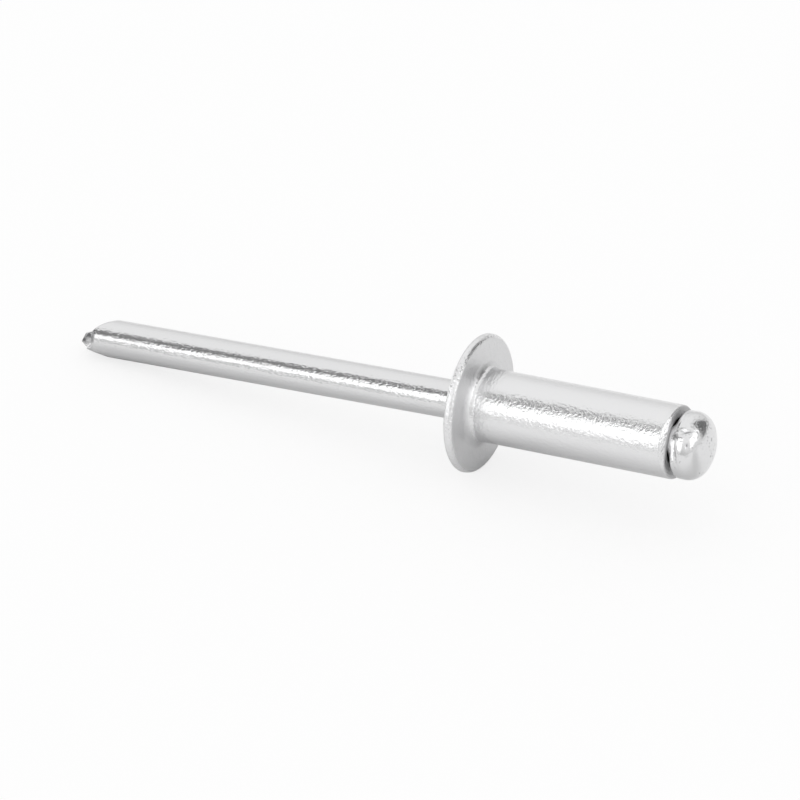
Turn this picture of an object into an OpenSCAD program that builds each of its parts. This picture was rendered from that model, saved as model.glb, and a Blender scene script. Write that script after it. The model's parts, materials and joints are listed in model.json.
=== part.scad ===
// Blind rivet, not yet set: a sleeve with a domed flange, threaded on a headed mandrel.
// It lies as it comes to rest on a table: on the rim of its flange and the tail of its stem.
// The origin is the centre of the flange's underside, on the sleeve's axis.
// +X runs towards the mandrel's head and +Z is up. Sizes are in millimetres.

/* [Sleeve] */
// Outside diameter of the shank
shank_d = 4.8; // [4.4:0.1:6]
// Length of the shank, from the flange's underside to its open end
shank_l = 14; // [8:0.5:30]
// Rounding of the shank's outer edge at its open end
end_round = 0.15; // [0.05:0.05:0.3]
// Width and depth of the flare at the mouth of the bore
mouth_flare = 0.25; // [0.1:0.05:0.35]

/* [Flange] */
// Diameter of the flange
flange_d = 9.1; // [8:0.1:12]
// Height of the domed flange at its middle
flange_h = 1.2; // [0.9:0.05:1.8]
// Radius of the flange's rounded rim
rim_r = 0.35; // [0.2:0.05:0.4]
// Fillet between the flange's underside and the shank
root_fillet = 0.6; // [0.2:0.1:1]

/* [Mandrel stem] */
// Diameter of the drawn wire that the mandrel is made from
stem_d = 2.55; // [2:0.05:2.8]
// Running gap between the stem and the bore, on the radius
bore_gap = 0.2; // [0.18:0.01:0.3]
// Distance from the flange's underside to the tip of the stem
stem_reach = 30; // [20:0.5:45]
// Gap left under the leaning stem where it leaves the flange
gap_below = 0.11; // [0.02:0.01:0.15]
// Gap left over the leaning stem at the break notch
gap_above = 0.05; // [0.02:0.01:0.15]

/* [Mandrel head] */
// Diameter of the head, a little less than the shank so that it can pull in
head_d = 4.38; // [4:0.02:4.7]
// How far the head stands out of the sleeve's open end
head_h = 2.25; // [2:0.05:3]
// Height of the crown above the middle of the bead
crown_h = 1.3; // [1.1:0.05:1.5]
// Radius of the bead that rounds the head's side into its crown
bead_r = 0.95; // [0.5:0.05:1]
// Step in from the head's side to the outer edge of its seat
seat_step = 0.2; // [0.1:0.05:0.3]
// Rise of the seat's outer edge above the sleeve's open end
seat_rise = 0.25; // [0.1:0.05:0.4]
// Gap between the head's conical seat and the mouth of the bore
seat_gap = 0.08; // [0.04:0.01:0.12]

/* [Break notch] */
// Distance from the sleeve's open end back to the break notch
notch_back = 1.4; // [1:0.1:3]
// Thickness that is left between two opposite nicks
notch_core = 1.7; // [1.2:0.05:1.9]
// Opening angle of each nick
notch_angle = 70; // [50:5:90]

/* [Pinched point] */
// Turn of the pinched point about the stem, away from upright
pinch_roll = 22; // [0:2:60]
// Length of the scooped side, from the tip
scoop_l = 2.4; // [2.2:0.1:3]
// Radius of the scoop
scoop_r = 1.66; // [1.5:0.02:2.2]
// Length of the straight cut on the other side, from the tip
cut_l = 1.9; // [1.6:0.1:2.6]
// Angle of the straight cut to the stem
cut_angle = 18; // [12:1:22]
// Length of the rounded cheeks, from the tip
cheek_l = 1.4; // [1.2:0.05:1.8]
// Radius of the rounded cheeks
cheek_r = 0.6; // [0.4:0.05:0.9]
// Width of the broken nib between the cheeks
nib_w = 0.6; // [0.4:0.05:0.9]
// Height of the nib above the stem's axis, on the scooped side
nib_top = 0.2; // [0.1:0.05:0.3]
// Depth of the nib's sharpest corner below the stem's axis
nib_corner = 0.48; // [0.34:0.02:0.54]
// Slope of the nib's broken end, along the stem
nib_slant = 0.24; // [0.1:0.02:0.4]

/* [Hidden] */
$fn = 96;
shank_r = shank_d / 2;
stem_r = stem_d / 2;
flange_r = flange_d / 2;
head_r = head_d / 2;
bore_r = stem_r + bore_gap;
mouth_r = bore_r + mouth_flare;
rim_at = flange_r - rim_r;
seat_r = head_r - seat_step;
bead_at = head_r - bead_r;
crown_from = shank_l + head_h - crown_h;
notch_at = shank_l - notch_back;
stem_tip = -stem_reach;
// The two halves of the mandrel run this far into each other inside the notch
notch_lap = 0.2;
// The sleeve sags on the stem, which leans from the bore's lower side at the flange
// to its upper side at the notch, and crosses the sleeve's axis between the two
drop_at_flange = bore_gap - gap_below;
rise_at_notch = bore_gap - gap_above;
lean_run = notch_at + flange_h;
stem_lean = atan2(drop_at_flange + rise_at_notch, lean_run);
lean_at = lean_run * drop_at_flange / (drop_at_flange + rise_at_notch) - flange_h;
// A length that is longer than any cut needs
past = 10;

// The stem stands on the edge of its straight cut. A place on that edge is given by its angle
// round the stem from the middle of the cut.
function touch_u(side) = stem_tip + cut_l - stem_r * (1 - cos(side)) / tan(cut_angle);
// How far that place lies below the stem's axis
function touch_drop(side) = stem_r * cos(side - pinch_roll);
// The same place on the leaning stem, along the sleeve's axis and above it
function touch_x(side) = lean_at + (touch_u(side) - lean_at) * cos(stem_lean)
    + touch_drop(side) * sin(stem_lean);
function touch_z(side) = (touch_u(side) - lean_at) * sin(stem_lean)
    - touch_drop(side) * cos(stem_lean);
// Tilt at which the rim's round and that place stand on one plane
function tilt_on(side) =
    let (run = -rim_r - touch_x(side), rise = rim_at + touch_z(side))
    atan2(rise, run) + asin(rim_r / norm([run, rise]));
// The stem slopes down to its tip, so it touches a little beside its lowest line
stem_slope = tilt_on(pinch_roll) + stem_lean;
touch_side = atan2(sin(pinch_roll), cos(pinch_roll) - tan(stem_slope) / tan(cut_angle));
rest_tilt = tilt_on(touch_side);

// Radius of the dome that meets a round of radius r smoothly, with its middle at distance a
// from the axis, and has its top at height h above that middle
function dome_radius(a, r, h) = (a * a + h * h - r * r) / (2 * (h - r));

// Half outline of a domed disc: a rounded edge that runs into a shallow dome.
// Its edge's middle lies at height 0, and the dome's top at height h.
module dome_profile(a, r, h) {
    dome_r = dome_radius(a, r, h);
    translate([a, 0]) circle(r = r);
    intersection() {
        translate([0, h - dome_r]) circle(r = dome_r);
        square([a * dome_r / (dome_r - r), h]);
    }
}

// Turns a half outline, drawn as radius and height, about the X axis
module revolve() {
    rotate([0, 90, 0]) rotate_extrude() children();
}

// Tips the whole rivet down onto its rim and its tail
module at_rest() {
    rotate([0, -rest_tilt, 0]) children();
}

// Turns the stem about the point where it crosses the sleeve's axis
module leaning() {
    translate([lean_at, 0, 0]) rotate([0, -stem_lean, 0]) translate([-lean_at, 0, 0]) children();
}

module flange_profile() {
    translate([0, -rim_r]) mirror([0, 1]) dome_profile(rim_at, rim_r, flange_h - rim_r);
    translate([0, -rim_r]) square([rim_at, rim_r]);
}

module shank_profile() {
    square([shank_r, shank_l - end_round]);
    square([shank_r - end_round, shank_l]);
    translate([shank_r - end_round, shank_l - end_round]) circle(r = end_round);
    difference() {
        square([shank_r + root_fillet, root_fillet]);
        translate([shank_r + root_fillet, root_fillet]) circle(r = root_fillet);
    }
}

module bore_profile() {
    translate([0, -past]) square([bore_r, shank_l + 2 * past]);
    polygon([
        [0, shank_l - mouth_flare],
        [bore_r, shank_l - mouth_flare],
        [mouth_r, shank_l],
        [mouth_r, shank_l + past],
        [0, shank_l + past]
    ]);
}

module rivet_body() {
    color("silver") at_rest() revolve() difference() {
        union() {
            flange_profile();
            shank_profile();
        }
        bore_profile();
    }
}

// The seat is a cone that keeps the seat gap to the edge of the mouth
seat_edge = mouth_r - seat_gap;
seat_slope = (seat_r - seat_edge) / seat_rise;
seat_from = shank_l - (seat_edge - stem_r) / seat_slope;

module head_profile() {
    translate([0, crown_from]) dome_profile(bead_at, bead_r, crown_h);
    polygon([
        [0, notch_at - notch_lap],
        [stem_r, notch_at - notch_lap],
        [stem_r, seat_from],
        [seat_r, shank_l + seat_rise],
        [head_r, crown_from],
        [0, crown_from]
    ]);
}

// Four nicks across the stem, where it snaps once the rivet is set
module break_notch() {
    nick_from = notch_core / 2;
    nick_to = stem_r + bore_gap;
    nick_l = (nick_to - nick_from) * tan(notch_angle / 2);
    for (turn = [0:90:270])
        translate([notch_at, 0, 0]) rotate([turn, 0, 0])
            linear_extrude(height = stem_d + past, center = true)
                polygon([[0, nick_from], [nick_l, nick_to], [-nick_l, nick_to]]);
}

// Side view of the point: scooped above, cut straight below, with the nib between
module scooped_outline() {
    cut_rise = (cut_l - nib_slant) * tan(cut_angle);
    intersection() {
        union() {
            translate([stem_tip + scoop_l, stem_r - scoop_r]) circle(r = scoop_r);
            translate([stem_tip + scoop_l, -stem_d]) square([stem_reach + shank_l, 2 * stem_d]);
            translate([stem_tip, -stem_d]) square([scoop_l, stem_d + nib_top]);
        }
        polygon([
            [stem_tip, -nib_corner],
            [stem_tip + nib_slant, -stem_r + cut_rise],
            [stem_tip + cut_l, -stem_r],
            [shank_l, -stem_d],
            [shank_l, stem_d],
            [stem_tip + nib_slant, stem_d],
            [stem_tip + nib_slant, nib_top]
        ]);
    }
}

// Top view of the point: two rounded cheeks, with the nib between
module cheeked_outline() {
    for (side = [-1, 1])
        translate([stem_tip + cheek_l, side * (stem_r - cheek_r)]) circle(r = cheek_r);
    translate([stem_tip + cheek_l, -stem_r]) square([stem_reach + shank_l, stem_d]);
    translate([stem_tip, -nib_w / 2]) square([cheek_l, nib_w]);
}

module stem() {
    intersection() {
        translate([stem_tip, 0, 0]) rotate([0, 90, 0])
            cylinder(r = stem_r, h = stem_reach + notch_at + notch_lap);
        rotate([90 - pinch_roll, 0, 0])
            linear_extrude(height = 2 * stem_d, center = true) scooped_outline();
        rotate([-pinch_roll, 0, 0])
            linear_extrude(height = 2 * stem_d, center = true) cheeked_outline();
    }
}

module mandrel() {
    color("gainsboro") at_rest() difference() {
        union() {
            revolve() head_profile();
            leaning() stem();
        }
        break_notch();
    }
}

rivet_body();
mandrel();
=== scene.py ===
# %% [markdown]
# # A blind rivet, before it is set
# A blind rivet is two pieces of metal. The sleeve is a short tube with a domed flange. The mandrel
# is a wire with a rounded head, threaded through the sleeve from its open end. A rivet tool pulls
# the wire, the head swells the sleeve behind the sheet, and the wire snaps at its notch.
#
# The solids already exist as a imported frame, at their real size. This script gives them their
# looks: the forged lumps, the drawn streaks, the tumbled skin, and the light that metal needs.

import json
from math import atan2, cos, degrees, exp, pi, radians, sin, sqrt, tan

import bmesh
import bpy
from mathutils import Euler, Matrix, Vector


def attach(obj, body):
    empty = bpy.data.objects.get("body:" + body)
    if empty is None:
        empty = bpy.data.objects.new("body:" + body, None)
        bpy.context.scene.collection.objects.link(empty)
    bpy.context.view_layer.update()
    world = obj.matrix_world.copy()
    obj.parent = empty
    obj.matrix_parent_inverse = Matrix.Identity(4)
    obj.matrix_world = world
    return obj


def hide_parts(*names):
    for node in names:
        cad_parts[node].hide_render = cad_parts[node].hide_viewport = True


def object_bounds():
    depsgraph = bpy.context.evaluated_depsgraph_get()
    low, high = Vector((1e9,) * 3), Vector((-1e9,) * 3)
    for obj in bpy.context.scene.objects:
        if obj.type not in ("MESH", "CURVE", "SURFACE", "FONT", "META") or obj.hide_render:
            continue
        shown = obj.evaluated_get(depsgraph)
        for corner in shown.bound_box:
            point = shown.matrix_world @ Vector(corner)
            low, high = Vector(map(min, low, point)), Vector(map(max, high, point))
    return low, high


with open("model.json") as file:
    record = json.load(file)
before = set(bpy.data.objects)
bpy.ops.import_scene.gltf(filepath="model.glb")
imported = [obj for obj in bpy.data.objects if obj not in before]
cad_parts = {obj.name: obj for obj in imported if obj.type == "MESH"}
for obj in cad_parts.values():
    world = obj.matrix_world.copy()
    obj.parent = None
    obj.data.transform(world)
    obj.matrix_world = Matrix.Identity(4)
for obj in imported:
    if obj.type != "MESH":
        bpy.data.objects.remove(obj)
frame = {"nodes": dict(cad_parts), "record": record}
cad_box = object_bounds()
print("nodes:", sorted(frame["nodes"]))
print("box in mm:", [[round(1000 * c, 2) for c in corner] for corner in cad_box])

# %% [markdown]
# Scene units are metres, and this object is only 46 mm long. Some bmesh operators merge or ignore
# steps of a few thousandths of a millimetre when the numbers get that small, so every piece is
# modelled in millimetres and shrunk once, when it is finished.
#
# The rivet lies tipped on the rim of its flange and the tail of its wire. The frame's mounts say
# how: each holds a place and an axis. A piece is therefore modelled straight along X, where a
# lathe would turn it, and is laid down by one matrix at the end.

# %% Where the two axes lie
MM = 0.001
mounts = {mount["name"]: mount for mount in frame["record"]["mounts"]}
shank_r = mounts["shank"]["dims"]["r_mm"]
stem_r = mounts["mandrel_stem"]["dims"]["r_mm"]
sleeve_tilt = atan2(mounts["shank"]["axis"][2], mounts["shank"]["axis"][0])
stem_tilt = atan2(-mounts["mandrel_stem"]["axis"][2], -mounts["mandrel_stem"]["axis"][0])
stem_lean = stem_tilt - sleeve_tilt
stem_place = Vector(mounts["mandrel_stem"]["pos_m"]) / MM
# The wire crosses the sleeve's axis where its height over that axis has shrunk to nothing
stem_middle = stem_place.x * cos(sleeve_tilt) + stem_place.z * sin(sleeve_tilt)
stem_drop = stem_place.z * cos(sleeve_tilt) - stem_place.x * sin(sleeve_tilt)
lean_at = stem_middle - stem_drop / tan(stem_lean)
wire_height = stem_place.z * cos(stem_tilt) - stem_place.x * sin(stem_tilt)
laid_down = Matrix.Scale(MM, 4) @ Matrix.Rotation(-sleeve_tilt, 4, "Y")
print(f"sleeve tilt {degrees(sleeve_tilt):.2f}, wire lean {degrees(stem_lean):.2f} degrees")

# %% [markdown]
# Both pieces were made round: the sleeve on a header, the mandrel from drawn wire. So both start
# as half an outline, spun about the X axis. The outline is drawn with its corners sharp, one
# vertex each, and a bevel of those vertices then gives each its rounding. That keeps the drawing
# short, and a rounding can be changed without moving any other point.

# %% Drawing and spinning an outline
def draw_outline(corners, closed=False):
    """Joins corners given as (along the axis, from the axis, rounding), all in millimetres."""
    mesh = bmesh.new()
    verts = [mesh.verts.new((along, 0, out)) for along, out, _ in corners]
    for start, end in zip(verts, verts[1:] + verts[:1] if closed else verts[1:]):
        mesh.edges.new((start, end))
    for vert, (_, _, rounding) in zip(verts, corners):
        if rounding:
            bmesh.ops.bevel(mesh, geom=[vert], offset=rounding, offset_type="OFFSET", affect="VERTICES",
                            segments=max(4, round(rounding * 20)), profile=0.5, material=-1)
    return mesh


def split_long_edges(mesh, longest, chosen=lambda middle: True):
    """Cuts the chosen edges so that none is longer, which gives later moves enough points."""
    for edge in mesh.edges[:]:
        start, end = edge.verts
        cuts = int(edge.calc_length() / longest) if chosen((start.co.x + end.co.x) / 2) else 0
        if cuts:
            bmesh.ops.subdivide_edges(mesh, edges=[edge], cuts=cuts)


def spin_outline(mesh, steps):
    """Turns the outline about the X axis and closes the seam and the poles."""
    bmesh.ops.spin(mesh, geom=mesh.verts[:] + mesh.edges[:], cent=(0, 0, 0), axis=(1, 0, 0),
                   dvec=(0, 0, 0), angle=2 * pi, steps=steps, use_merge=True, use_duplicate=False)
    bmesh.ops.remove_doubles(mesh, verts=mesh.verts[:], dist=1e-4)
    bmesh.ops.recalc_face_normals(mesh, faces=mesh.faces[:])


def finish_piece(mesh, name):
    """Lays the mesh down in the frame, in metres, and makes it a smooth object."""
    bmesh.ops.transform(mesh, matrix=laid_down, verts=mesh.verts[:])
    data = bpy.data.meshes.new(name)
    mesh.to_mesh(data)
    mesh.free()
    data.shade_smooth()
    data.set_sharp_from_angle(angle=radians(50))
    piece = bpy.data.objects.new(name, data)
    bpy.context.scene.collection.objects.link(piece)
    print(f"{name}: {len(data.vertices)} vertices, {len(data.polygons)} faces")
    return piece


# %% [markdown]
# ## The sleeve
# The outline runs out of the bore at the open end, back along the shank, round the flange and into
# the bore again. The flange is a short band with two rounded edges, which each catch a line of
# light, and a shallow dome. The fillet at its root is the radius of the header's die.

# %% The sleeve's outline
shank_l = 14.0
bore_gap, mouth_flare = 0.2, 0.15
bore_r = stem_r + bore_gap
flange_r, flange_h = 4.55, 1.2
root_fillet = 0.6
sleeve_steps = 144

# Each corner: along the axis, out from the axis, and the size of its rounding
sleeve_corners = [
    (shank_l - mouth_flare, bore_r, 0.05),
    (shank_l, bore_r + mouth_flare, 0.03),
    (shank_l, shank_r, 0.14),
    (0, shank_r, root_fillet),
    (0, flange_r - 0.04, 0.28),
    (-0.56, flange_r + 0.02, 0.16),
    (-1.12, 2.6, 0.9),
    (-flange_h, bore_r, 0.06),
]
sleeve = draw_outline(sleeve_corners, closed=True)
split_long_edges(sleeve, 0.35)
split_long_edges(sleeve, 0.06, lambda middle: middle > shank_l - 0.8)
spin_outline(sleeve, sleeve_steps)
print("sleeve:", len(sleeve.verts), "points")

# %% [markdown]
# ## Knocks and wear on the sleeve
# A sleeve that was headed, cut off and tumbled isn't quite true. The flange leans a little, the
# mouth of the bore lies off centre, and the cut edge is worn down at the front. A lathe's outline
# can't say that. So each is a move of the points that the spin made, and fades out with distance,
# which keeps the mesh whole and smooth.

# %% Put the sleeve out of true
def from_axis(place):
    """Distance of a place from the X axis."""
    return sqrt(place.y ** 2 + place.z ** 2)


def turn_from_top(place):
    """Angle of a place round the X axis in degrees: 0 at the top, 90 at the front."""
    return degrees(atan2(-place.y, place.z))


# The flange's rim shifts along X by these shares of its Y and Z
flange_off_y, flange_off_z = -0.0112, 0.0214
mouth_shift, mouth_depth = Vector((0, -0.10, 0.08)), 0.3
# The worn edge is a cone: where it lies round the sleeve, its depth and slope, and the shares of
# the wear that move a point back along the sleeve and in towards its axis
worn_at, worn_reach, worn_depth, worn_slope = 62, 42, 0.38, 1.3
worn_back, worn_in = 0.48, 0.37

for vert in sleeve.verts:
    share = max(0, min(1, 1 - vert.co.x / root_fillet))
    vert.co.x += share * (flange_off_y * vert.co.y + flange_off_z * vert.co.z)
for vert in sleeve.verts:
    out = from_axis(vert.co)
    share = max(0, 1 - (shank_l - vert.co.x) / mouth_depth)
    if share and out < bore_r + mouth_flare + 0.1:
        vert.co += share * mouth_shift
    turn = (turn_from_top(vert.co) - worn_at) / worn_reach
    worn = (vert.co.x - shank_l) * worn_slope + out - shank_r + worn_depth * exp(-turn ** 4)
    if worn > 0 and out > bore_r:
        vert.co.x -= worn * worn_back
        vert.co.y *= 1 - worn * worn_in / out
        vert.co.z *= 1 - worn * worn_in / out
sleeve_piece = finish_piece(sleeve, "rivet_sleeve")

# %% [markdown]
# ## The mandrel
# The wire, its head and its broken point are one piece of metal, so they are one outline too. Only
# the head is turned. The notch and the point were squeezed into the wire by dies, and that is how
# they are made here: the points of a round wire are pressed in to where the die's face was.

# %% The mandrel's outline
head_r, head_h = 2.21, 2.25
crown_r, crown_h = 0.91, 0.73
head_tip = shank_l + head_h
# The seat under the head is a cone that stays clear of the mouth of the bore
seat_rise, seat_step, seat_gap = 0.25, 0.2, 0.08
seat_out = head_r - seat_step
seat_in = bore_r + mouth_flare - seat_gap
seat_slope = (seat_out - seat_in) / seat_rise
seat_from = shank_l - (seat_in - stem_r) / seat_slope
notch_back, notch_core, nick_half_angle = 1.4, 1.7, radians(35)
notch_at = shank_l - notch_back
nick_l = (stem_r - notch_core / 2) * tan(nick_half_angle)
stem_tip, point_l = -29.78, 3
mandrel_steps = 240
# A ring close to each end of the plain stem keeps its smooth shading from leaning along its length
ring_gap = 0.3

mandrel_corners = [
    (head_tip, 0, 0),
    (head_tip, crown_r, 0.72),
    (head_tip - crown_h, head_r, 0.6),
    (shank_l + seat_rise + 0.1, head_r, 0.15),
    (shank_l + seat_rise, seat_out, 0.08),
    (seat_from, stem_r, 0.1),
    (notch_at + nick_l, stem_r, 0),
    (notch_at, stem_r, 0),
    (notch_at - nick_l, stem_r, 0),
    (notch_at - nick_l - ring_gap, stem_r, 0),
    (stem_tip + point_l + ring_gap, stem_r, 0),
    (stem_tip + point_l, stem_r, 0),
    (stem_tip, stem_r, 0),
    (stem_tip, 0, 0),
]
mandrel = draw_outline(mandrel_corners)
split_long_edges(mandrel, 0.05, lambda middle: middle > shank_l or middle < stem_tip + point_l)
spin_outline(mandrel, mandrel_steps)
print("mandrel:", len(mandrel.verts), "points")

# %% [markdown]
# ## The marks on the head
# The head is upset cold, and it comes out lumpy: a smooth collar next to the sleeve, a groove where
# the die closed, and shallow creases. A sculpted mesh could show them, but would have to be stored.
# Here each mark is one soft hollow, a bell curve along the head and around it, that presses the
# points of the mesh towards the axis. A negative depth raises a bump instead.

# %% Lumps on the head
def dent(mesh, along, around, reach_along, reach_around, depth, slant=0):
    """Presses a soft hollow towards the axis. Around is in degrees from the top, towards the front."""
    for vert in mesh.verts:
        out = from_axis(vert.co)
        # The stem stays as it is, and so does the pole, which has no side to press from
        if vert.co.x < shank_l + 0.02 or out < 0.05:
            continue
        turn = (turn_from_top(vert.co) - around + 180) % 360 - 180
        off = (vert.co.x - along - slant * turn) / reach_along
        side = turn / reach_around
        press = depth * exp(-off * off - side * side)
        vert.co.y *= 1 - press / out
        vert.co.z *= 1 - press / out


def collar(mesh, start, end, start_r, end_r, around, reach_around, lip=0.04):
    """Shapes part of the head into a cone from one radius to the other. Its lip fades in."""
    for vert in mesh.verts:
        along = vert.co.x
        if not start - lip <= along <= end:
            continue
        share = max(0, (along - start) / (end - start))
        wanted = start_r + (end_r - start_r) * share
        turn = (turn_from_top(vert.co) - around) / reach_around
        amount = exp(-turn ** 4) * min(1, 1 - (start - along) / lip)
        scale = 1 + amount * (wanted / from_axis(vert.co) - 1)
        vert.co.y *= scale
        vert.co.z *= scale


collar(mandrel, start=shank_l - 0.06, end=shank_l + 0.64, start_r=1.74, end_r=1.84,
       around=50, reach_around=38)
# Each dent: past the sleeve's end, degrees from the top, its two reaches, its depth, its slant
head_dents = [
    (0.74, 62, 0.07, 34, 0.04, 0.006),
    (1.22, 60, 0.12, 16, -0.03, 0),
    (1.04, 37, 0.36, 7, 0.08, 0),
    (1.44, 60, 0.08, 6, 0.05, 0),
]
for past_end, *shape in head_dents:
    dent(mandrel, shank_l + past_end, *shape)
# The head sags a little in the mouth, over this length of its neck
head_sag = Vector((0.03, -0.01, -0.05))
sag_from, sag_over = shank_l - 0.5, 0.7
for vert in mandrel.verts:
    if vert.co.x > sag_from:
        vert.co += min(1, (vert.co.x - sag_from) / sag_over) * head_sag
print(len(head_dents), "dents and a collar on the head")

# %% [markdown]
# ## The notch and the pinched point
# The feed of the nail machine pinches the wire until it parts. One side is left with a scoop, the
# other with a straight cut, the two cheeks are rounded, and a thin nib is torn off between them.
# Boolean cuts would leave hard edges. Pressing keeps the mesh whole and rounds every edge: each
# point that lies outside a die's face is brought in to it, and the points next to it follow softly.

# %% How a die presses the wire
die_soft = 0.1


def squeezed(value, limit):
    """A place on the wire after a die has come in as far as limit. The die leaves rounded edges."""
    depth = stem_r - limit
    if depth <= 0:
        return value
    soft = min(die_soft, 2 * depth)
    near = max(soft - abs(value - limit), 0) / soft
    return min(value, limit) - near * near * soft / 4


def arch(place, middle, radius, centre):
    """Height of a round of that radius over a place, or of its start where it has ended."""
    reach = min(max(middle - place, 0), radius)
    return centre + sqrt(radius * radius - reach * reach)


# %% Press the notch
for vert in mandrel.verts:
    off_notch = abs(vert.co.x - notch_at)
    if off_notch < nick_l:
        die = notch_core / 2 + off_notch / tan(nick_half_angle)
        vert.co.y = max(-die, min(die, vert.co.y))
        vert.co.z = max(-die, min(die, vert.co.z))

# %% Press the point and tear off its nib
pinch_roll = radians(22)
scoop_l, scoop_r = 2.4, 1.66
cut_l, cut_angle = 1.9, radians(18)
cheek_l, cheek_r = 1.3, 0.5
nib_w, nib_top = 0.55, 0.22
# The nib widens downwards from just under the axis, more so away from its tip
spread_from, spread, spread_over = 0.05, 1.5, 0.9
# Its broken end slopes back from its sharpest corner, and faster below it
nib_corner, nib_slant, nib_undercut = 0.40, 0.45, 0.8

unrolled = Matrix.Rotation(pinch_roll, 4, "X")
point = [vert for vert in mandrel.verts if vert.co.x < stem_tip + point_l - 0.01]
bmesh.ops.transform(mandrel, matrix=unrolled, verts=point)
for vert in point:
    along, across, up = vert.co
    top = max(arch(along, stem_tip + scoop_l, scoop_r, stem_r - scoop_r), nib_top)
    bottom = stem_r - max(stem_tip + cut_l - along, 0) * tan(cut_angle)
    widened = max(0, -up - spread_from) * spread * min(1, (along - stem_tip) / spread_over)
    cheek = arch(along, stem_tip + cheek_l, cheek_r, stem_r - cheek_r)
    side = min(stem_r, max(cheek, nib_w / 2 + widened))
    up = squeezed(up, top)
    up = -squeezed(-up, bottom)
    across = squeezed(across, side)
    across = -squeezed(-across, side)
    below_corner = max(0, -up - nib_corner)
    broken_end = stem_tip + nib_slant * abs(up + nib_corner) + below_corner * nib_undercut
    vert.co = (max(along, broken_end), across, up)
bmesh.ops.transform(mandrel, matrix=unrolled.inverted(), verts=point)
print(len(point), "points pressed into the pinched point")

# %% [markdown]
# The wire leans in the bore as far as its gap lets it. It is turned about the place where it
# crosses the sleeve's axis, up to the notch, so the head stays in line with the sleeve.

# %% Lean the wire in the bore
to_crossing = Matrix.Translation((lean_at, 0, 0))
leaning = to_crossing @ Matrix.Rotation(-stem_lean, 4, "Y") @ to_crossing.inverted()
wire = [vert for vert in mandrel.verts if vert.co.x < notch_at]
bmesh.ops.transform(mandrel, matrix=leaning, verts=wire)
mandrel_piece = finish_piece(mandrel, "mandrel_wire")

# %% [markdown]
# ## Finishes
# A material is maths on sockets. Written out node by node that maths is hard to read, so one small
# class wraps a socket and lets Python's own operators add the Math nodes.

# %% Shader maths as expressions
class Wire:
    """A socket in a material. Adding, multiplying and so on add the nodes that do it."""

    def __init__(self, tree, socket):
        self.tree, self.socket = tree, socket

    def math(self, operation, *values):
        inputs = dict(enumerate((self, *values)))
        return node(self.tree, "ShaderNodeMath", {"operation": operation}, inputs)

    def __add__(self, other):
        return self.math("ADD", other)

    def __sub__(self, other):
        return self.math("SUBTRACT", other)

    def __mul__(self, other):
        return self.math("MULTIPLY", other)

    def __rsub__(self, other):
        return (self * -1) + other

    __radd__ = __add__
    __rmul__ = __mul__


def node(tree, kind, settings, inputs, output=0):
    """Adds one node: its settings first, then a value or a link for each named input."""
    made = tree.nodes.new(kind)
    for name, value in settings.items():
        setattr(made, name, value)
    for name, value in inputs.items():
        if isinstance(value, Wire):
            tree.links.new(value.socket, made.inputs[name])
        else:
            made.inputs[name].default_value = value
    return Wire(tree, made.outputs[output])


def new_material(name):
    """A material with no nodes in it yet, and its node tree."""
    material = bpy.data.materials.new(name)
    material.use_nodes = True
    tree = material.node_tree
    tree.nodes.clear()
    return material, tree


def surface(tree, shader):
    """Ends a material's tree with its shader."""
    output = tree.nodes.new("ShaderNodeOutputMaterial")
    tree.links.new(shader.socket, output.inputs["Surface"])


def split(tree, vector):
    """The three coordinates of a vector, by name."""
    made = tree.nodes.new("ShaderNodeSeparateXYZ")
    tree.links.new(vector.socket, made.inputs[0])
    return {name: Wire(tree, made.outputs[name]) for name in "XYZ"}


def ramp(tree, value, start, end):
    """0 before start and 1 after end, with a smooth step between."""
    return node(tree, "ShaderNodeMapRange", {"interpolation_type": "SMOOTHSTEP"}, {
        "Value": value, "From Min": start, "From Max": end, "To Min": 0.0, "To Max": 1.0})


def noise(tree, vector, scale, detail, **more):
    """Fractal noise on coordinates in metres, so its scale is large."""
    return node(tree, "ShaderNodeTexNoise", {},
                {"Vector": vector, "Scale": scale, "Detail": detail, **more})


def turned_by(tree, vector, angle):
    """Coordinates turned so that an axis that was tipped up by the angle lies along X."""
    return node(tree, "ShaderNodeMapping", {}, {"Vector": vector, "Rotation": (0, angle, 0)})


def metal(tree, grey, roughness, height, bump_distance):
    """Bare metal of one grey with a breath of blue, whose skin is raised by height."""
    colour = node(tree, "ShaderNodeCombineColor", {}, {0: grey, 1: grey, 2: grey + 0.005})
    bumped = node(tree, "ShaderNodeBump", {},
                  {"Height": height, "Distance": bump_distance, "Strength": 1.0})
    surface(tree, node(tree, "ShaderNodeBsdfPrincipled", {}, {
        "Base Color": colour, "Metallic": 1, "Roughness": roughness, "Normal": bumped}))


# %% [markdown]
# ## The tumbled sleeve
# The sleeve is tumbled until it is bright, which leaves a fine orange peel on it. A picture of
# that would stretch over the round shank, so it is grown from noise on Object coordinates, turned
# to the sleeve's own axis, and only bends the normal. Masks along and around the axis, in
# millimetres, say where the finish differs: the cut end is greyer and duller but for its worn
# front, the edge before it is rougher, the flange's rim is polished and its faces keep a dull skin.

# %% The tumbled sleeve
sleeve_grey, sleeve_roughness = 0.80, 0.205
# The middle of the worn front lies in this direction, as shares of Z and of -Y
front_up, front_forward = 0.53, 0.85


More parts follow.
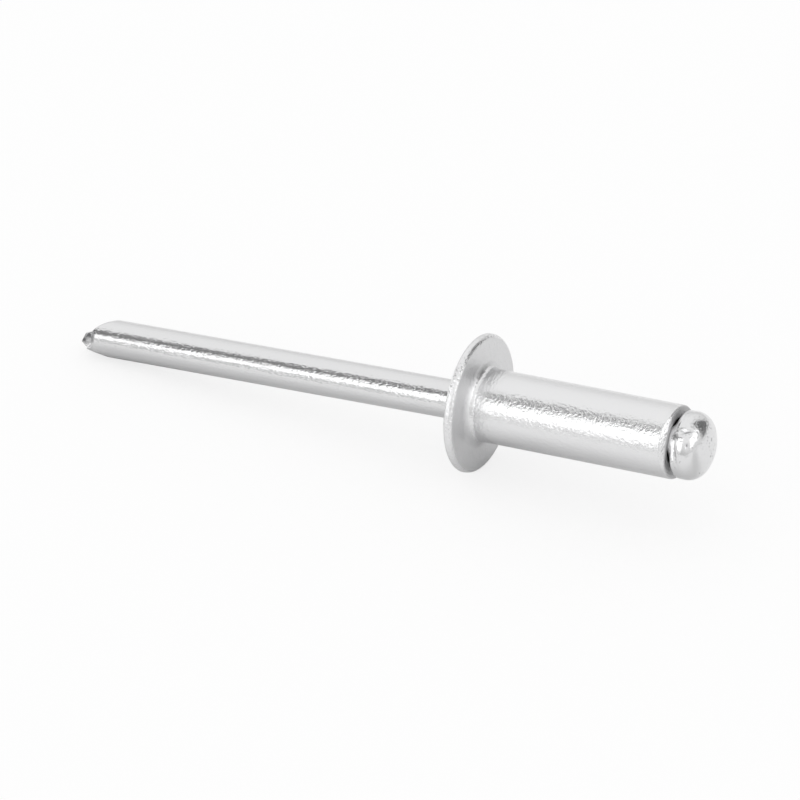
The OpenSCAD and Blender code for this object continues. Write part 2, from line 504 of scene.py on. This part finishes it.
def sleeve_finish():
    """Bright tumbled metal with a fine orange peel."""
    material, tree = new_material("tumbled_metal")
    place = node(tree, "ShaderNodeTexCoord", {}, {}, "Object")
    turned = turned_by(tree, place, sleeve_tilt)
    parts = split(tree, turned)
    along = parts["X"] * (1 / MM)
    out = (parts["Y"] * parts["Y"] + parts["Z"] * parts["Z"]).math("SQRT") * (1 / MM)
    burr = ramp(tree, along, shank_l - 0.45, shank_l - 0.05)
    sheared = ramp(tree, along, shank_l - 0.05, shank_l)
    front = ramp(tree, parts["Z"] * front_up - parts["Y"] * front_forward, 0.8 * MM, 1.6 * MM)
    rim = ramp(tree, out, flange_r - 0.3, flange_r - 0.1)
    skin = ramp(tree, along * -1, -0.4, -0.05) * (1 - rim)
    peel = noise(tree, turned, 5200, 2.5, Roughness=0.6)
    waves = noise(tree, turned, 1500, 1)
    height = peel * (1.5 + burr * 1.5 + rim * 1.5) + waves * (0.5 + skin * 1.6)
    grey = sleeve_grey - sheared * (0.28 - front * 0.22) - skin * 0.06
    roughness = sleeve_roughness + sheared * 0.28 + skin * 0.27 - rim * 0.07
    metal(tree, grey, roughness, height, 2.4e-5)
    return material


# %% [markdown]
# ## The drawn wire
# A drawing die leaves long streaks along the wire. Noise makes them once its coordinates are
# squeezed along the axis. The head was forged, so its skin has grit and pits in place of streaks,
# and painted shade darkens its groove, its crease and two spots. The torn nib is dark and rough on
# its upper side, painted shade darkens the line where it meets the cheeks, and a soft darker spot
# lies at its sharpest corner.

# %% Masks for the forged head and the torn nib
def spot(off, side):
    """A soft round spot: 1 where both distances are nothing, and fading as they grow."""
    return (off * off * -1 - side * side).math("EXPONENT")


def head_masks(tree, place):
    """Where the head takes painted shade and pits. It follows the sleeve's axis, so the masks do too.
    """
    laid = split(tree, turned_by(tree, place, sleeve_tilt))
    past_end = laid["X"] * (1 / MM) - shank_l
    around = (laid["Y"] * -1).math("ARCTAN2", laid["Z"]) * degrees(1)

    def mark(along_at, around_at, reach_along, reach_around, slant=0, twist=0):
        off = (past_end - along_at - (around - around_at) * slant) * (1 / reach_along)
        side = (around - around_at - (past_end - along_at) * twist) * (1 / reach_around)
        return spot(off, side)

    # Painted shade for the groove, the crease and two dark spots, then the pitted patch
    groove_shade = mark(0.74, 64, 0.045, 26, slant=0.006)
    crease_shade = mark(1.30, 37, 0.24, 1.7, twist=-16)
    spot_shade = mark(1.44, 60, 0.06, 2.5) + mark(1.75, 62, 0.05, 1.5) * 0.6
    pitted = mark(1.62, 18, 0.26, 16)
    return groove_shade, crease_shade, spot_shade, pitted


def nib_masks(tree, from_tip, over_axis):
    """Where the wire is torn, where shade is painted and where a dark spot lies, in millimetres from
    its tip and over its axis.
    """
    upper = ramp(tree, over_axis, 0.10, 0.35)
    broken = (1 - ramp(tree, from_tip, 0.95, 1.15)) * (upper * 0.85 + 0.15)
    # Painted shade: a dark band on the upper side where the nib meets the cheeks
    junction_shade = ramp(tree, from_tip, 0.75, 1.0) * (1 - ramp(tree, from_tip, 1.12, 1.25)) * upper
    # A soft darker spot near the nib's tip
    dark_corner_spot = spot((from_tip - 0.16) * (1 / 0.24), (over_axis - 0.05) * (1 / 0.16))
    return broken, junction_shade, dark_corner_spot


# %% The drawn wire
wire_grey, wire_roughness = 0.765, 0.165
streak_stretch = 0.06


def wire_finish():
    """Drawn wire with a forged head and a torn nib."""
    material, tree = new_material("drawn_wire")
    place = node(tree, "ShaderNodeTexCoord", {}, {}, "Object")
    turned = turned_by(tree, place, stem_tilt)
    stretched = node(tree, "ShaderNodeMapping", {}, {"Vector": turned, "Scale": (streak_stretch, 1, 1)})
    parts = split(tree, turned)
    along = parts["X"] * (1 / MM)
    forged = ramp(tree, along, notch_at, shank_l)
    broken, junction_shade, dark_corner_spot = nib_masks(tree, along - stem_tip, parts["Z"] * (1 / MM) - wire_height)
    groove_shade, crease_shade, spot_shade, pitted = head_masks(tree, place)

    streaks = noise(tree, stretched, 9000, 2)
    peel = noise(tree, turned, 5600, 2)
    grit = noise(tree, turned, 6000, 2)
    clumps = noise(tree, turned, 3200, 2)
    pits = ramp(tree, grit, 0.62, 0.7) * ramp(tree, noise(tree, turned, 700, 1), 0.45, 0.6)

    drawn = (1 - forged) * (streaks * 0.7 + peel * 2.2)
    lumpy = forged * (grit * (0.5 + pitted * 5) + peel * 0.7 - pits * 1.2)
    height = drawn + lumpy + broken * clumps * 4
    torn = broken * (ramp(tree, clumps, 0.62, 0.42) * 0.5 + 0.12) * (1 - junction_shade)
    # Painted shade in the groove, crease and spots, and darker grit on the pitted patch
    painted_shade_and_grit = groove_shade * 0.35 + crease_shade * 0.5 + spot_shade * 0.45 + pitted * ramp(tree, grit, 0.5, 0.6) * 0.3
    # Painted shade darkens the line between the nib and the cheeks
    grey = wire_grey - torn - junction_shade * 0.42 - dark_corner_spot * 0.55 - forged * pits * 0.35 - painted_shade_and_grit
    metal(tree, grey, wire_roughness + broken * 0.2 + forged * 0.02, height, 1.2e-5)
    return material


sleeve_piece.data.materials.append(sleeve_finish())
mandrel_piece.data.materials.append(wire_finish())
print("finishes:", [material.name for material in bpy.data.materials])

# %% [markdown]
# ## Into the frame
# Nothing on this rivet moves, so both pieces ride on the root. Each takes the place of the plain
# solid of the same part, which is hidden.

# %% Put the pieces in the frame
dressed = {"rivet_body": (sleeve_piece, "sleeve_metal"), "mandrel": (mandrel_piece, "mandrel_metal")}
for solid, (piece, slot) in dressed.items():
    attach(piece, "root")
    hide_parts(solid)
print("dressed:", sorted(dressed))

# %% [markdown]
# ## The floor
# The picture has a white ground with a faint shadow. A white floor lit to pure white would flood
# the metal with light, so the floor is pale paint, and only camera rays see it mixed with plain
# white. Bright metal also mirrors the floor: painted shade, a slightly darker pool under the rivet
# that only reflections see, gives its lower side the shade that it has on a table. The painted pool
# is short behind the rivet, because the flange's underside mirrors that part, and it is pale.

# %% Sheets for the studio
def stage_sheet(name, mesh, material):
    """A sheet of the studio: floor or card. It isn't part of the rivet."""
    data = bpy.data.meshes.new(name)
    mesh.to_mesh(data)
    mesh.free()
    data.materials.append(material)
    sheet = bpy.data.objects.new(name, data)
    bpy.context.scene.collection.objects.link(sheet)
    return sheet


def grid_sheet(size_x, size_y, matrix):
    """A flat rectangle, made round the origin and then moved by the matrix."""
    mesh = bmesh.new()
    bmesh.ops.create_grid(mesh, x_segments=1, y_segments=1, size=0.5)
    bmesh.ops.scale(mesh, vec=(size_x, size_y, 1), verts=mesh.verts[:])
    bmesh.ops.transform(mesh, matrix=matrix, verts=mesh.verts[:])
    return mesh


# %% The floor
floor_z, floor_size = cad_box[0].z, 1.2
floor_paint, floor_whiteness = 0.95, 0.75
pool_front, pool_behind, pool_depth = 0.006, 0.0022, 0.24


def floor_finish():
    """Pale board. To the camera it is nearly white, and it keeps the rivet's soft shadow. Reflections
    see it with a painted pool of shade under the rivet.
    """
    material, tree = new_material("pale_board")
    place = node(tree, "ShaderNodeTexCoord", {}, {}, "Object")
    backwards = split(tree, place)["Y"]
    across = (backwards * (1 / pool_behind)).math("MAXIMUM", backwards * (-1 / pool_front))
    glossy = node(tree, "ShaderNodeLightPath", {}, {}, "Is Glossy Ray")
    # Painted shade: reflections see the floor darker in a pool under the rivet
    painted_shade_pool = (across * across * -1).math("EXPONENT") * glossy * pool_depth
    shade = floor_paint - painted_shade_pool
    paint_colour = node(tree, "ShaderNodeCombineColor", {}, {0: shade, 1: shade, 2: shade})
    paint = node(tree, "ShaderNodeBsdfDiffuse", {}, {"Color": paint_colour})
    white = node(tree, "ShaderNodeEmission", {}, {"Color": (1, 1, 1, 1), "Strength": 1})
    camera = node(tree, "ShaderNodeLightPath", {}, {}, "Is Camera Ray")
    mixed = node(tree, "ShaderNodeMixShader", {}, {0: camera * floor_whiteness, 1: paint, 2: white})
    surface(tree, mixed)
    return material


floor_mesh = grid_sheet(floor_size, floor_size, Matrix.Translation((0, 0, floor_z)))
stage_sheet("floor", floor_mesh, floor_finish())
print(f"floor at {1000 * floor_z:.2f} mm")

# %% [markdown]
# ## The cards
# Bright metal shows the room and little else, so its light and dark bands are cards that stand
# round the rivet: a white softbox in front with a dark wedge before it and a grey strip below it,
# a softbox on each side, and a dark card behind. Lamps would add their own glare, and a painted
# band would stay put when the rivet is turned. The cards are seen by reflections only. A board has
# any outline and stands upright in front, and a card is a rectangle that faces the rivet from a
# direction, given as an azimuth and two heights in degrees.

# %% Making cards and boards
def glow_finish(name, level):
    """Plain light of one level, where 1 is white."""
    material, tree = new_material(name)
    colour = (level, level, level, 1)
    surface(tree, node(tree, "ShaderNodeEmission", {}, {"Color": colour, "Strength": 1}))
    return material


def only_reflections(sheet):
    """Hides a sheet from everything but what is mirrored in the metal."""
    sheet.visible_camera = False
    sheet.visible_diffuse = False
    sheet.visible_shadow = False
    sheet.visible_transmission = False


def card(name, azimuth, low, high, width, level, distance=0.25):
    """A rectangle that faces the rivet from a direction. Its width is a share of its distance."""
    middle = radians((low + high) / 2)
    tall = 2 * distance * tan(radians(high - low) / 2)
    turn = Matrix.Rotation(radians(azimuth), 4, "Z") @ Matrix.Rotation(-middle, 4, "X")
    facing = turn @ Matrix.Translation((0, -distance, 0)) @ Matrix.Rotation(radians(90), 4, "X")
    mesh = grid_sheet(width * distance, tall, facing)
    only_reflections(stage_sheet(name, mesh, glow_finish(name, level)))


def board(name, distance, outline, level):
    """A card of any outline, upright in front of the rivet. Distance and outline are in mm."""
    mesh = bmesh.new()
    mesh.faces.new([mesh.verts.new((along * MM, -distance * MM, up * MM)) for along, up in outline])
    only_reflections(stage_sheet(name, mesh, glow_finish(name, level)))


# %% The cards round the rivet
wedge_distance = 80
wedge_outline = [(-220, 48), (-94, 51), (-80, 54), (-75, 62), (-70, 76), (-57, 88), (-51, 103),
                 (-10, 167), (-10, 179), (-60, 186), (-110, 198), (-150, 208), (-220, 218)]
softbox_outline = [(-192, 8), (-4, 8), (-4, 215), (-192, 215)]
strip_outline = [(-150, -4.4), (80, -4.4), (80, 4), (-17, 4.2), (-41, 9.5), (-150, 16)]
edge_outline = [(-150, 12.8), (-41, 8.0), (-41, 9.6), (-150, 16.2)]
board("dark_wedge", wedge_distance, wedge_outline, 0.20)
board("softbox_front", 120, softbox_outline, 1.5)
board("grey_strip", 60, strip_outline, 0.57)
board("strip_edge", 59.5, edge_outline, 0.40)
card("softbox_left", -80, 0, 30, width=0.6, level=1.4)
card("softbox_right", 86, 10, 44, width=0.85, level=1.5)
card("dark_card_behind", 136, 0, 64, width=0.70, level=0.16)
print(f"dark wedge with {len(wedge_outline)} corners, {wedge_distance} mm in front of the rivet")

# %% [markdown]
# ## The room
# Around the cards the room is plain white for the light it sheds, so a colour renders about as it
# is written. In the metal it is a little darker near the floor, as a real room is, and to the
# camera it is white.

# %% The room
low_level, high_level = 0.70, 1.0


def set_world():
    """A white room, which bright metal mirrors a little darker near the floor."""
    world = bpy.data.worlds.new("white_room")
    bpy.context.scene.world = world
    world.use_nodes = True
    tree = world.node_tree
    tree.nodes.clear()
    white = node(tree, "ShaderNodeBackground", {}, {"Color": (1, 1, 1, 1), "Strength": 1})
    direction = node(tree, "ShaderNodeTexCoord", {}, {}, "Generated")
    upwards = ramp(tree, split(tree, direction)["Z"], -0.1, 0.75)
    level = low_level + upwards * (high_level - low_level)
    graded = node(tree, "ShaderNodeBackground", {}, {"Color": (1, 1, 1, 1), "Strength": level})
    glossy = node(tree, "ShaderNodeLightPath", {}, {}, "Is Glossy Ray")
    mixed = node(tree, "ShaderNodeMixShader", {}, {0: glossy, 1: white, 2: graded})
    output = tree.nodes.new("ShaderNodeOutputWorld")
    tree.links.new(mixed.socket, output.inputs["Surface"])
    print("world:", world.name)


set_world()

# %% [markdown]
# ## The camera
# The picture looks down on the rivet from its front right, through a long lens. The place and the
# focal length, in pixels of an 800 pixel wide picture, were fitted to the outline of the rivet.

# %% Camera
camera_azimuth, camera_height = radians(28.26), radians(32.55)
camera_distance = 0.40198
aim = Vector((-0.006086, 0, -0.00154))
picture_px, focal_px, sensor_mm = 800, 6210.8, 36
camera_data = bpy.data.cameras.new("camera")
camera_data.sensor_width = sensor_mm
camera_data.lens = sensor_mm * focal_px / picture_px
camera_data.clip_start = 0.01
camera = bpy.data.objects.new("camera", camera_data)
camera.rotation_euler = Euler((pi / 2 - camera_height, 0, camera_azimuth))
flat = cos(camera_height)
back = Vector((sin(camera_azimuth) * flat, -cos(camera_azimuth) * flat, sin(camera_height)))
camera.location = aim + back * camera_distance
bpy.context.scene.collection.objects.link(camera)
bpy.context.scene.camera = camera
bpy.context.scene.view_settings.view_transform = "Standard"
print(f"lens {camera_data.lens:.0f} mm at {camera_distance:.3f} m")
